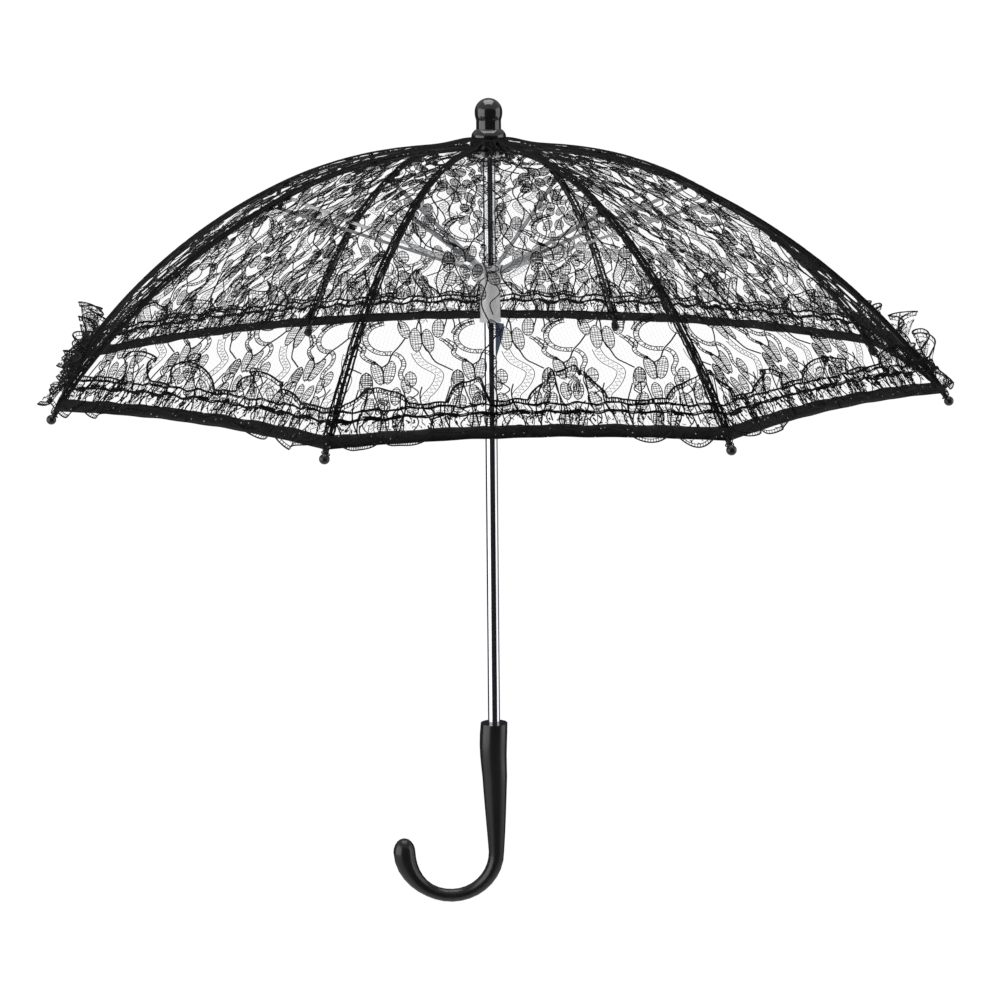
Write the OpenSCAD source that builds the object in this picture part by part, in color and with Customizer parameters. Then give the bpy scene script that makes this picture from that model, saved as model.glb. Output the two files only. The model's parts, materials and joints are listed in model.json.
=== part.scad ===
// Lace parasol: eight curved ribs on a steel tube, a sliding runner with eight stretchers,
// a catch spring, a lace canopy with a gathered trim, and a moulded crook handle.
// Z runs up the tube and the origin is at the middle of the straight grip.
// The parasol is modelled open. Each arm is drawn in its own plane: X is the distance from
// the tube's axis, Z is the height, and the arm is then turned round the tube.

/* [Tube] */
// Outer diameter of the steel tube
tube_d = 8; // [6:0.5:10]
// Wall thickness of the tube
tube_wall = 0.6; // [0.4:0.1:1]
// Height of the tube's lower end, inside the grip
tube_bottom = -12; // [-20:1:0]
// Height of the tube's upper end, inside the finial
tube_top = 436; // [430:1:440]

/* [Canopy frame] */
// Distance from the tube's axis to each ball tip
tip_r = 300; // [280:1:320]
// Height of the ball tips
tip_z = 262; // [250:1:275]
// Height of the ribs over their joints
rib_joint_z = 387.3; // [386.8:0.1:388]
// Slope of the ribs over their joints, in degrees
rib_joint_slope = 25; // [23.5:0.5:26]
// Diameter of a rib
rib_d = 1.9; // [1.7:0.1:2.4]
// Direction of the first rib, seen from above
first_rib_turn = -18; // [-45:1:45]
// Distance from the tube's axis to the rib pivots in the crown
crown_pivot_r = 8; // [7.8:0.1:8.4]
// Height of the rib pivots
crown_pivot_z = 414; // [412:0.5:416]
// Distance from the tube's axis to the rib and stretcher joints
joint_r = 146.5; // [140:0.5:155]
// Height of the rib and stretcher joints
joint_z = 383; // [381:0.5:385]
// Distance from the tube's axis to the stretchers' inner ends
runner_pivot_r = 8.2; // [8:0.1:8.5]
// Height of the stretchers' inner ends
runner_pivot_z = 335.5; // [333:0.5:337]

/* [Small parts] */
// Diameter of a ball tip
ball_d = 6; // [5:0.1:7]
// Diameter of the retaining wires in the crown and the runner
wire_d = 1; // [0.8:0.1:1]
// Thickness of the flattened rib and stretcher ends
blade_t = 1.1; // [0.9:0.1:1.2]
// Outer diameter of the crown
crown_d = 19; // [18:0.5:20]
// Outer diameter of the runner's collar
collar_d = 18.4; // [18:0.1:19]
// Outer diameter of the runner's sleeve
sleeve_d = 13; // [12.5:0.1:13.4]
// Length of the runner
runner_h = 36.5; // [30:0.5:40]
// How far the catch spring stands out of the tube
catch_reach = 4.8; // [4.5:0.1:5]
// Length of the catch spring
catch_h = 24; // [20:1:26]

/* [Lace] */
// Thickness of the lace panels
lace_t = 0.8; // [0.5:0.1:1.2]
// Distance along a rib from the hem to the middle of the ball tip
hem_from_tip = 6; // [4:0.5:8]
// How far the hem rises between two tips
hem_rise = 5; // [0:0.5:10]
// How far the gathered trim stands up above its stitch line
frill_up = 22; // [10:1:30]
// How far the trim's scallops hang below the hem
frill_down = 8; // [4:1:12]
// How far the gathered trim stands off the canopy
frill_flare = 12; // [6:1:16]

/* [Handle] */
// Height of the grip's upper end
grip_top = 33; // [25:1:40]
// Diameter of the grip at its mouth
grip_mouth_d = 17.9; // [15:0.1:19]
// Diameter of the grip at its thickest
grip_d = 18.5; // [16:0.5:20]
// Diameter of the crook where it leaves the grip
crook_d = 10.4; // [9:0.1:12]
// Diameter of the crook at its thinnest
crook_thin_d = 8.7; // [8:0.1:10]
// Diameter of the knob at the crook's end
knob_d = 14.9; // [12:0.1:16]
// Height of the knob's rounded end
knob_dome_h = 9.6; // [7:0.1:11]
// Radius of the crook's inner edge
crook_inner_r = 24.7; // [20:0.1:28]
// Height of the crook's centre
crook_z = -56.6; // [-60:0.1:-50]

/* [Hidden] */
ARMS = 8;

fit = 0.08;               // radial clearance of a turning or sliding fit
gap = 0.3;                // clearance between parts that only pass each other
slot_w = blade_t + 2 * gap;
tube_r = tube_d / 2;
rib_r = rib_d / 2;

// The ribs' curve: two arcs that meet over the joint. An angle on it is the slope there.
over_joint = [joint_r, rib_joint_z];
upper_chord = over_joint - [crown_pivot_r, crown_pivot_z];
lower_chord = [tip_r, tip_z] - over_joint;
a_joint = rib_joint_slope;
a_crown = 2 * atan2(-upper_chord[1], upper_chord[0]) - a_joint;
a_tip = 2 * atan2(-lower_chord[1], lower_chord[0]) - a_joint;
upper_r = norm(upper_chord) / (2 * sin((a_joint - a_crown) / 2));
lower_r = norm(lower_chord) / (2 * sin((a_tip - a_joint) / 2));
function curve_r(a) = a < a_joint ? upper_r : lower_r;
function curve_c(a) = over_joint - curve_r(a) * [sin(a_joint), cos(a_joint)];
function on_curve(a, out = 0) = curve_c(a) + (curve_r(a) + out) * [sin(a), cos(a)];
function turn(l, r) = l / r * 180 / PI;   // the angle that a length takes up on an arc

blade_l = 9;              // length of the rib's flattened inner end
blade_h = 2.4;            // height of the ribs' flattened ends
rib_end_a = a_tip - turn(6, lower_r);
pin_r = 0.55;             // rivet through the rib joint
tab_t = 0.8;              // thickness of the joint's tab
cheek_in = tab_t / 2 + 0.15;
channel_h = 1.9;          // height of a stretcher
channel_wall = 0.45;
channel_half = cheek_in + channel_wall;
stretcher_run = [joint_r - runner_pivot_r, joint_z - runner_pivot_z];
stretcher_l = norm(stretcher_run);
stretcher_a = atan2(stretcher_run[1], stretcher_run[0]);

collar_h = 10;
collar_top = runner_pivot_z + 3.5;
runner_bottom = collar_top - runner_h;
crown_bottom = crown_pivot_z - 4.5;
crown_top = crown_pivot_z + 4.6;
washer_h = 3.1;           // from the crown up to the finial's foot
catch_top = runner_bottom - gap;
catch_bottom = catch_top - catch_h;
catch_pivot = [2, catch_bottom + 0.5];
catch_pin_d = 1.4;
stop_z = collar_top + 17;
stop_r = 1.3;
stop_reach = 1.4;

// Turns an arm drawn in the XZ plane to its place round the tube.
module arm(k) {
    rotate([0, 0, first_rib_turn + 360 / ARMS * (k - 1)]) children();
}

// A pin or hole along Y through the point [x, z].
module cross_pin(at, r, l) {
    translate([at[0], 0, at[1]]) rotate([90, 0, 0]) cylinder(r = r, h = l, center = true, $fn = 32);
}

// Eight radial slots for the flattened ends, from inner_r outwards.
module radial_slots(inner_r, z0, z1) {
    for (k = [1:ARMS])
        arm(k) translate([inner_r, -slot_w / 2, z0]) cube([20, slot_w, z1 - z0]);
}

module tube() {
    color("silver") difference() {
        translate([0, 0, tube_bottom]) cylinder(r = tube_r, h = tube_top - tube_bottom, $fn = 64);
        translate([0, 0, tube_bottom - 1])
            cylinder(r = tube_r - tube_wall, h = tube_top - tube_bottom + 2, $fn = 64);
        // the catch spring's slot
        translate([0, -0.9, catch_bottom - 1]) cube([tube_d, 1.8, catch_h + 1.5]);
        cross_pin([catch_pivot[0], catch_pivot[1]], catch_pin_d / 2, tube_d + 2);
        translate([0, 0, stop_z]) rotate([0, 90, 0]) cylinder(r = stop_r, h = tube_d, $fn = 32);
    }
}

module stop_pin() {
    color("gray") translate([tube_r - tube_wall - 0.6, 0, stop_z]) rotate([0, 90, 0]) {
        cylinder(r = stop_r, h = tube_wall + 0.6 + stop_reach - 0.4, $fn = 32);
        translate([0, 0, tube_wall + 0.6 + stop_reach - 0.4])
            cylinder(r1 = stop_r, r2 = stop_r - 0.4, h = 0.4, $fn = 32);
    }
}

module catch_pin() {
    half = sqrt(tube_r ^ 2 - (catch_pivot[0] + catch_pin_d / 2) ^ 2);
    color("gray") cross_pin(catch_pivot, catch_pin_d / 2, 2 * half);
}

// The catch: a spring-steel blade that stands out of its slot under the runner.
module catch_spring() {
    tip_x = tube_r + catch_reach;
    slope = 1.2;              // the top edge falls outwards, so that it clears the runner as it turns
    // each entry is [distance out of the tube, share of the height below the top]
    edge = [[0.9, 0.8], [2.8, 0.55], [4.4, 0.3]];
    color("midnightblue") translate([0, 0.5, 0]) rotate([90, 0, 0]) linear_extrude(1) difference() {
        union() {
            polygon(concat(
                [[catch_pivot[0] - 1.3, catch_pivot[1]], [catch_pivot[0] + 1.6, catch_pivot[1]]],
                [for (e = edge) [tube_r + e[0], catch_top - catch_h * e[1]]],
                [[tip_x, catch_top - 0.12 * catch_h], [tip_x, catch_top - slope],
                 [tube_r - 0.8, catch_top]]));
            translate(catch_pivot) circle(r = 1.4, $fn = 32);
        }
        translate(catch_pivot) circle(r = catch_pin_d / 2 + fit, $fn = 32);
    }
}

// The crown: a slotted plastic hub that holds the ribs' inner ends on a ring of wire.
module crown() {
    color("lightgray") difference() {
        rotate_extrude($fn = 64) polygon([
            [tube_r, crown_bottom], [crown_d / 2 - 1.5, crown_bottom], [crown_d / 2, crown_bottom + 1.5],
            [crown_d / 2, crown_top - 1], [crown_d / 2 - 1, crown_top], [tube_r, crown_top]]);
        radial_slots(crown_pivot_r - 1.7, crown_bottom - 1, crown_pivot_z + blade_h / 2 + gap);
        wire_groove(crown_pivot_r, crown_pivot_z, crown_d / 2);
    }
}

// A square groove cut from outside for a ring of retaining wire.
module wire_groove(ring_r, z, outer_r) {
    half = wire_d / 2 + 0.02;
    rotate_extrude($fn = 64) translate([ring_r - half, z - half])
        square([outer_r - ring_r + half + 1, 2 * half]);
}

module crown_wire() {
    color("gray") rotate_extrude($fn = 64) translate([crown_pivot_r, crown_pivot_z])
        circle(r = wire_d / 2, $fn = 24);
}

// The fabric-covered washer that closes the canopy between the crown and the finial.
module apex_washer() {
    washer_r = 11;
    color([0.12, 0.12, 0.13]) rotate_extrude($fn = 64) polygon([
        [tube_r, crown_top], [crown_d / 2, crown_top], [washer_r, crown_top - 1.6],
        [washer_r, crown_top - 0.8], [crown_d / 2, crown_top + 1.4],
        [crown_d / 2 - 1, crown_top + washer_h], [tube_r, crown_top + washer_h]]);
}

// The finial: a bell, a short neck and a round knob. Heights are measured from its foot.
module finial() {
    z0 = crown_top + washer_h;
    bell_r = 11.2;
    bell_tall = 6.76;
    bell_z = 0.8;
    bell_top = 5.5;
    neck_top = 11.3;
    bulb_r = 8.95;
    bulb_drop = 11.8;
    bulb_z = 16.5;
    bulb_top = 25.4;
    color([0.07, 0.07, 0.08]) difference() {
        translate([0, 0, z0]) rotate_extrude($fn = 96) polygon(concat(
            [[0, 0]],
            oval(bell_r, bell_tall, bell_z, 0, bell_top),
            oval(bulb_r, bulb_drop, bulb_z, neck_top, bulb_z),
            oval(bulb_r, bulb_top - bulb_z, bulb_z, bulb_z, bulb_top, 1)));
        translate([0, 0, z0 - 1]) cylinder(r = tube_r, h = tube_top - z0 + 1, $fn = 64);
    }
}

// Points on the side of an oval that is r wide and tall high from its middle at z,
// from low to high, starting with point number first.
function oval(r, tall, z, low, high, first = 0) =
    let (steps = 14, from = asin((low - z) / tall), to = asin((high - z) / tall))
    [for (i = [first:steps]) let (a = from + (to - from) * i / steps) [r * cos(a), z + tall * sin(a)]];

// A length of round rod along the ribs' curve.
module rod(from_a, to_a, r) {
    if (from_a < a_joint) arc_rod(from_a, min(to_a, a_joint), r);
    if (to_a > a_joint) arc_rod(max(from_a, a_joint), to_a, r);
}

module arc_rod(from_a, to_a, r) {
    centre = curve_c((from_a + to_a) / 2);
    translate([centre[0], 0, centre[1]]) rotate([90, 0, 0])
        rotate([0, 0, 90 - to_a]) rotate_extrude(angle = to_a - from_a, $fn = 360)
            translate([curve_r((from_a + to_a) / 2), 0]) circle(r = r, $fn = 24);
}

// A rib: a curved steel wire with a flattened, drilled inner end.
module rib(k) {
    a_rod = a_crown + turn(blade_l, upper_r);
    color([0.2, 0.2, 0.22]) arm(k) difference() {
        union() {
            rod(a_rod, rib_end_a, rib_r);
            translate([0, blade_t / 2, 0]) rotate([90, 0, 0]) linear_extrude(blade_t)
                rib_blade_outline(a_rod);
        }
        cross_pin([crown_pivot_r, crown_pivot_z], wire_d / 2 + 0.1, 4);
    }
}

module rib_blade_outline(a_rod) {
    far = a_rod + turn(2, upper_r);
    steps = 4;
    translate([crown_pivot_r, crown_pivot_z]) circle(r = blade_h / 2 - 0.05, $fn = 32);
    polygon(concat(
        [for (i = [0:steps]) on_curve(a_crown + (far - a_crown) * i / steps, rib_r - 0.2)],
        [for (i = [steps:-1:0]) on_curve(a_crown + (far - a_crown) * i / steps, 0.2 - rib_r)]));
}

// The joint clip: a sleeve crimped round the rib, with a tab and the rivet that carries the stretcher.
module rib_joint(k) {
    sleeve_l = 8;
    sleeve_r = 1.45;
    head_y = channel_half + 0.2;
    head_t = 0.5;
    color([0.15, 0.15, 0.17]) arm(k) {
        difference() {
            union() {
                on_rib(a_joint) rotate([0, 90, 0])
                    cylinder(r = sleeve_r, h = sleeve_l, center = true, $fn = 32);
                translate([0, tab_t / 2, 0]) rotate([90, 0, 0]) linear_extrude(tab_t) tab_outline();
            }
            on_rib(a_joint) rotate([0, 90, 0])
                cylinder(r = rib_r + 0.06, h = sleeve_l + 2, center = true, $fn = 32);
        }
        cross_pin([joint_r, joint_z], pin_r, 2 * head_y + 0.2);
        for (side = [-1, 1])
            translate([joint_r, side * (head_y + head_t / 2), joint_z]) rotate([90, 0, 0])
                cylinder(r = 1.1, h = head_t, center = true, $fn = 32);
    }
}

// Places children at an angle on the ribs' curve, with X along the rib.
module on_rib(a) {
    at = on_curve(a);
    translate([at[0], 0, at[1]]) rotate([0, a, 0]) children();
}

module tab_outline() {
    side = 2;
    eye_r = 1.1;
    inner = on_curve(a_joint, -rib_r - 0.2);
    step = side * [cos(a_joint), -sin(a_joint)];
    polygon([inner - step, inner + step, [joint_r + eye_r, joint_z], [joint_r - eye_r, joint_z]]);
    translate([joint_r, joint_z]) circle(r = eye_r, $fn = 32);
}

// The ball tip: a ball on a short socket pushed over the rib's end.
module ball_tip(k) {
    socket_from = 1;
    socket_l = 8;
    socket_r = 1.7;
    mouth_a = a_tip - turn(socket_from + socket_l + 1, lower_r);
    color([0.05, 0.05, 0.06]) arm(k) difference() {
        on_rib(a_tip) {
            sphere(r = ball_d / 2, $fn = 48);
            rotate([0, -90, 0]) translate([0, 0, socket_from])
                cylinder(r1 = socket_r - 0.2, r2 = socket_r, h = socket_l, $fn = 32);
        }
        rod(mouth_a, rib_end_a, rib_r + 0.02);
    }
}

// A stretcher: a pressed steel channel, forked round the rib joint and flattened at the runner.
module stretcher(k) {
    flat_l = 9;
    fork_l = 4;
    eye_r = 1;
    channel_l = stretcher_l - flat_l;
    color("gainsboro") arm(k) translate([joint_r, 0, joint_z]) rotate([0, 180 - stretcher_a, 0])
        mirror([0, 0, 1]) difference() {
            union() {
                for (side = [-1, 1]) translate([0, side * (channel_half - channel_wall / 2), 0]) {
                    translate([channel_l / 2, 0, 0])
                        cube([channel_l, channel_wall, channel_h], center = true);
                    rotate([90, 0, 0])
                        cylinder(r = channel_h / 2, h = channel_wall, center = true, $fn = 32);
                }
                translate([fork_l, -channel_half, -channel_h / 2])
                    cube([channel_l - fork_l, 2 * channel_half, channel_wall]);
                translate([channel_l - 5, -blade_t / 2, -channel_h / 2])
                    cube([flat_l + 5, blade_t, channel_h]);
                translate([stretcher_l, 0, 0]) rotate([90, 0, 0])
                    cylinder(r = eye_r, h = blade_t, center = true, $fn = 32);
            }
            rotate([90, 0, 0]) cylinder(r = pin_r + fit, h = 10, center = true, $fn = 32);
            translate([stretcher_l, 0, 0]) rotate([90, 0, 0])
                cylinder(r = wire_d / 2 + 0.05, h = 4, center = true, $fn = 32);
        }
}

// The runner: a plastic sleeve with a flared, slotted collar.
module runner() {
    flare_z = collar_top - collar_h;
    sleeve_r = sleeve_d / 2;
    lip_r = sleeve_r + 0.5;
    lip_h = 1.6;
    color("silver") difference() {
        rotate_extrude($fn = 64) polygon([
            [tube_r + fit, runner_bottom], [lip_r, runner_bottom], [lip_r, runner_bottom + lip_h],
            [sleeve_r, runner_bottom + lip_h + 0.5], [sleeve_r, flare_z - 2],
            [collar_d / 2 - 0.8, flare_z + 3], [collar_d / 2, collar_top - 3],
            [collar_d / 2, collar_top], [tube_r + fit, collar_top]]);
        radial_slots(runner_pivot_r - 1.3, flare_z - 3, collar_top + 1);
        wire_groove(runner_pivot_r, runner_pivot_z, collar_d / 2);
    }
}

// The runner's retaining wire, open at each slot.
module runner_wire() {
    slot_a = asin(slot_w / 2 / runner_pivot_r) + 2;
    span = 360 / ARMS - 2 * slot_a;
    color("gray") for (k = [1:ARMS])
        arm(k) rotate([0, 0, slot_a]) rotate_extrude(angle = span, $fn = 64)
            translate([runner_pivot_r, runner_pivot_z]) circle(r = wire_d / 2, $fn = 24);
}

// Lace. A panel is the two half gores beside one rib. Rows run from the crown to the hem,
// and each row has a point on either side, where it meets its neighbours, and one on the rib.
panel_rows = 12;
panel_start_a = a_crown + turn(5.5, upper_r);
panel_end_a = a_tip - turn(hem_from_tip, lower_r);
lace_out = 2.4;           // the lace's inner face above the middle of a rib
seam_gap = 0.4;           // between two neighbouring panels, across the seam
half_turn = 180 / ARMS;

// A point on the canopy: side is -1, 0 or 1, out the distance above the middle of a rib.
function lace_point(a, side, out, edge_gap = seam_gap) =
    let (p = on_curve(a, out), y = p[0] * sin(half_turn) * cos(half_turn),
         x = side == 0 ? p[0] : p[0] * cos(half_turn) ^ 2)
    [x + abs(side) * edge_gap * sin(half_turn) / 2, side * (y - edge_gap / 2), p[1]];

// A closed skin between two stacks of three-point rows, outer rows first.
module skin(outer, inner) {
    n = len(outer);
    function id(layer, row, col) = (layer * n + row) * 3 + col;
    points = concat([for (row = outer) each row], [for (row = inner) each row]);
    faces = concat(
        [for (i = [0:n - 2]) for (j = [0:1]) each [
            [id(0, i, j), id(0, i, j + 1), id(0, i + 1, j + 1)],
            [id(0, i, j), id(0, i + 1, j + 1), id(0, i + 1, j)],
            [id(1, i, j), id(1, i + 1, j + 1), id(1, i, j + 1)],
            [id(1, i, j), id(1, i + 1, j), id(1, i + 1, j + 1)]]],
        [for (i = [0:n - 2]) each [
            [id(0, i, 0), id(0, i + 1, 0), id(1, i + 1, 0)],
            [id(0, i, 0), id(1, i + 1, 0), id(1, i, 0)],
            [id(0, i, 2), id(1, i, 2), id(1, i + 1, 2)],
            [id(0, i, 2), id(1, i + 1, 2), id(0, i + 1, 2)]]],
        [for (j = [0:1]) each [
            [id(0, 0, j), id(1, 0, j), id(1, 0, j + 1)],
            [id(0, 0, j), id(1, 0, j + 1), id(0, 0, j + 1)],
            [id(0, n - 1, j), id(0, n - 1, j + 1), id(1, n - 1, j + 1)],
            [id(0, n - 1, j), id(1, n - 1, j + 1), id(1, n - 1, j)]]]);
    polyhedron(points, faces, convexity = 4);
}

// The angle of a row, raised between the tips by the hem's rise.
function row_a(a, side) = a - abs(side) * turn(hem_rise, lower_r)
    * pow((a - panel_start_a) / (panel_end_a - panel_start_a), 3);

module lace_panel(k) {
    function row(i, out) = let (a = panel_start_a + (panel_end_a - panel_start_a) * i / panel_rows)
        [for (side = [-1:1]) lace_point(row_a(a, side), side, out)];
    color([0.1, 0.1, 0.11]) arm(k) skin(
        [for (i = [0:panel_rows]) row(i, lace_out + lace_t)],
        [for (i = [0:panel_rows]) row(i, lace_out)]);
}

// The gathered trim over one panel: it stands up and off the canopy above its stitch line,
// and its scallops hang below the hem.
module lace_trim(k) {
    stitch = 22;              // from the hem up to the stitch line
    off = lace_out + lace_t + gap;
    flare = off + frill_flare;
    // each entry is [distance above the hem along the rib, distance off the canopy]
    profile = [[stitch + frill_up, flare - 2], [stitch + frill_up / 2, flare], [stitch + 3, off + 1],
               [stitch - 4, off], [stitch / 2, off + 3], [1, off + 3], [-frill_down, off + 2]];
    function trim_row(p, extra) =
        [for (side = [-1:1]) lace_point(
            row_a(panel_end_a, side) - turn(p[0], lower_r), side, p[1] + extra, 0.5)];
    color([0.14, 0.14, 0.15]) arm(k) skin(
        [for (p = profile) trim_row(p, 1)],
        [for (p = profile) trim_row(p, 0)]);
}

// The crook handle, swept along its centre line. A station is [x, z, direction, radius].
grip_steps = 12;
crook_steps = 18;
knob_steps = 5;
sides = 40;
grip_shift = 0.8;         // the grip's lower end lies this far towards +X
grip_bulge = 0.7;         // and its upper part swells this far towards -X
crook_r = crook_inner_r + crook_d / 2;
crook_x = grip_shift - crook_r;
function smooth(t) = t * t * (3 - 2 * t);
function mix(a, b, t) = a + (b - a) * t;
function grip_station(i) =
    let (t = i / grip_steps, thickest = mix(grip_mouth_d, grip_d, smooth(min(1, t / 0.12))),
         x = grip_shift * smooth(max(0, (t - 0.25) / 0.75)) - grip_bulge * sin(180 * min(1, t / 0.4)))
    [x, mix(grip_top, crook_z, t), 0, mix(thickest, crook_d, pow(max(0, (t - 0.1) / 0.9), 1.4)) / 2];
function crook_station(i) =
    let (t = i / crook_steps, a = 180 * t, r = crook_r + mix(0, 2.2, t * t),
         d = t < 0.5 ? mix(crook_d, crook_thin_d, smooth(2 * t))
                     : mix(crook_thin_d, knob_d, smooth(max(0, (t - 0.62) / 0.38))))
    [crook_x + r * cos(a), crook_z - r * sin(a), a, d / 2];
function knob_station(i) =
    let (t = i / knob_steps, last = crook_station(crook_steps))
    [last[0], last[1] + knob_dome_h * sin(80 * t), 180, last[3] * cos(80 * t)];
stations = concat(
    [for (i = [0:grip_steps]) grip_station(i)],
    [for (i = [1:crook_steps]) crook_station(i)],
    [for (i = [1:knob_steps]) knob_station(i)]);

module handle() {
    n = len(stations);
    points = [for (s = stations) for (j = [0:sides - 1])
        let (b = 360 * j / sides, w = s[3] * cos(b))
        [s[0] + w * cos(s[2]), s[3] * sin(b), s[1] - w * sin(s[2])]];
    walls = [for (i = [0:n - 2]) for (j = [0:sides - 1]) let (j2 = (j + 1) % sides) each [
        [i * sides + j, i * sides + j2, (i + 1) * sides + j2],
        [i * sides + j, (i + 1) * sides + j2, (i + 1) * sides + j]]];
    ends = [[for (j = [sides - 1:-1:0]) j], [for (j = [0:sides - 1]) (n - 1) * sides + j]];
    color([0.08, 0.08, 0.09]) difference() {
        polyhedron(points, concat(walls, ends), convexity = 6);
        translate([0, 0, tube_bottom]) cylinder(r = tube_r, h = grip_top - tube_bottom + 1, $fn = 64);
    }
}

tube();
handle();
crown();
crown_wire();
finial();
apex_washer();
stop_pin();
catch_pin();
catch_spring();
runner();
runner_wire();
for (k = [1:ARMS]) {
    rib(k);
    rib_joint(k);
    ball_tip(k);
    stretcher(k);
    lace_panel(k);
    lace_trim(k);
}
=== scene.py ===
"""A black lace parasol, open, with its canopy of lace gores, gathered frill, ribs and crook handle.

Lengths are in millimetres until a mesh is made. Each rib carries one petal of lace: the near
halves of the two gores beside it. A place on a gore is flat: x runs across it from its middle,
and y runs up it from the hem.
"""
import json
import math
from functools import partial

import bpy
import numpy as np
from mathutils import Matrix, Vector


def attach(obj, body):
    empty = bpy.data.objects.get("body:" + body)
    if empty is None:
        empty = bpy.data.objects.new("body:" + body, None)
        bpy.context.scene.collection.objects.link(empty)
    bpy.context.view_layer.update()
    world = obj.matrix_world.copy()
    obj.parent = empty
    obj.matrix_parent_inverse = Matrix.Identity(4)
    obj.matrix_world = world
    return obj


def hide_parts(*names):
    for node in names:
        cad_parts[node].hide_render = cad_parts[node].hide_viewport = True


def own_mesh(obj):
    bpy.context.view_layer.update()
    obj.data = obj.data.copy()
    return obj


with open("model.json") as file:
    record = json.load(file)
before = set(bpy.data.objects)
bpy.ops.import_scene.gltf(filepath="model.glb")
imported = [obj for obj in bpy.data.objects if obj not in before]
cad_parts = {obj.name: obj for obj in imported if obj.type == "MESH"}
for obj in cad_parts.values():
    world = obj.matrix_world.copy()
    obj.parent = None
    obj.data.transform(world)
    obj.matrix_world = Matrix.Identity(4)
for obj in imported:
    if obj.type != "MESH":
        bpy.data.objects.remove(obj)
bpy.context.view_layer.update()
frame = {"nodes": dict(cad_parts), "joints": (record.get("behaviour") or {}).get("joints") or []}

MM = 0.001
ARMS = 8
TURN = 2 * math.pi / ARMS
HALF = TURN / 2

# ---------------------------------------------------------------- what the frame gives

joints = {j["name"]: j for j in frame["joints"]}


def node_points(name):
    """A CAD node's points, in millimetres."""
    return np.array([v.co for v in frame["nodes"][name].data.vertices], float) / MM


def azimuth(k):
    """The direction of arm k from the tube."""
    axis = joints[f"rib_hinge_{k}"]["axis"]
    return math.atan2(-axis[0], axis[1])


FIRST = azimuth(1)


def in_arm_plane(points, k):
    """Columns: distance from the tube's axis, distance out of the arm's plane, height."""
    c, s = math.cos(azimuth(k)), math.sin(azimuth(k))
    return np.c_[points[:, 0] * c + points[:, 1] * s, points[:, 1] * c - points[:, 0] * s, points[:, 2]]


def rib_arc(near, far):
    """Centre and radius of a rib between two distances from the tube, from its widest line."""
    rib = in_arm_plane(node_points("rib_1"), 1)
    side = rib[np.abs(rib[:, 1]) > np.abs(rib[:, 1]).max() - 0.02]
    flat = side[(side[:, 0] > near) & (side[:, 0] < far)][:, [0, 2]]
    terms = np.c_[2 * flat, np.ones(len(flat))]
    x, z, rest = np.linalg.lstsq(terms, (flat ** 2).sum(1), rcond=None)[0]
    return x, z, math.sqrt(rest + x * x + z * z)


# The ribs' curve is two arcs that meet over the joint. Each is its centre's place and its radius.
JOINT_R = math.hypot(*joints["stretcher_hinge_1"]["pos_m"][:2]) / MM
BLEND = 8                    # how much of a rib on either side of the joint isn't measured
UPPER = rib_arc(20, JOINT_R - BLEND)
LOWER = rib_arc(JOINT_R + BLEND, math.inf)
ball = in_arm_plane(node_points("ball_tip_1"), 1)
BALL_R = np.abs(ball[:, 1]).max()
TIP_A = math.asin((ball[:, 0].max() - BALL_R - LOWER[0]) / LOWER[2])
JOINT_A = math.asin((JOINT_R - UPPER[0]) / UPPER[2])
TIP_CLEAR = 6                # from the hem to the ball's middle
HEM_A = TIP_A - TIP_CLEAR / LOWER[2]
LOWER_L = (HEM_A - JOINT_A) * LOWER[2]
TOP_R = 10.2                 # the lace's upper edge, under the finial
TOP_A = math.asin((TOP_R - UPPER[0]) / UPPER[2])
LENGTH = LOWER_L + (JOINT_A - TOP_A) * UPPER[2]
LIFT = 1.7                   # the lace above the middle of a rib
APEX_RISE = 5.0              # how far the lace rises off the ribs to the finial's foot
APEX_REACH = 17.0            # and how far out it comes back to them
SAG = 4.0                    # how far a gore dips between its ribs
HEM_RISE = 5.0               # how far the middle of its hem is drawn up


def slope_at(y):
    """The ribs' slope at a distance up from the hem."""
    y = np.asarray(y, float)
    return np.where(y < LOWER_L, HEM_A - y / LOWER[2], JOINT_A - (y - LOWER_L) / UPPER[2])


def on_curve(a):
    """Distance from the tube's axis and height of the ribs' curve where its slope is a."""
    x, z, r = (np.where(a < JOINT_A, high, low) for high, low in zip(UPPER, LOWER))
    return x + r * np.sin(a), z + r * np.cos(a)


def half_width(y):
    """Half of a gore's width at a distance up from the hem."""
    return on_curve(slope_at(y))[0] * math.sin(HALF)


HEM_W = 2 * float(half_width(0))


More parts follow.
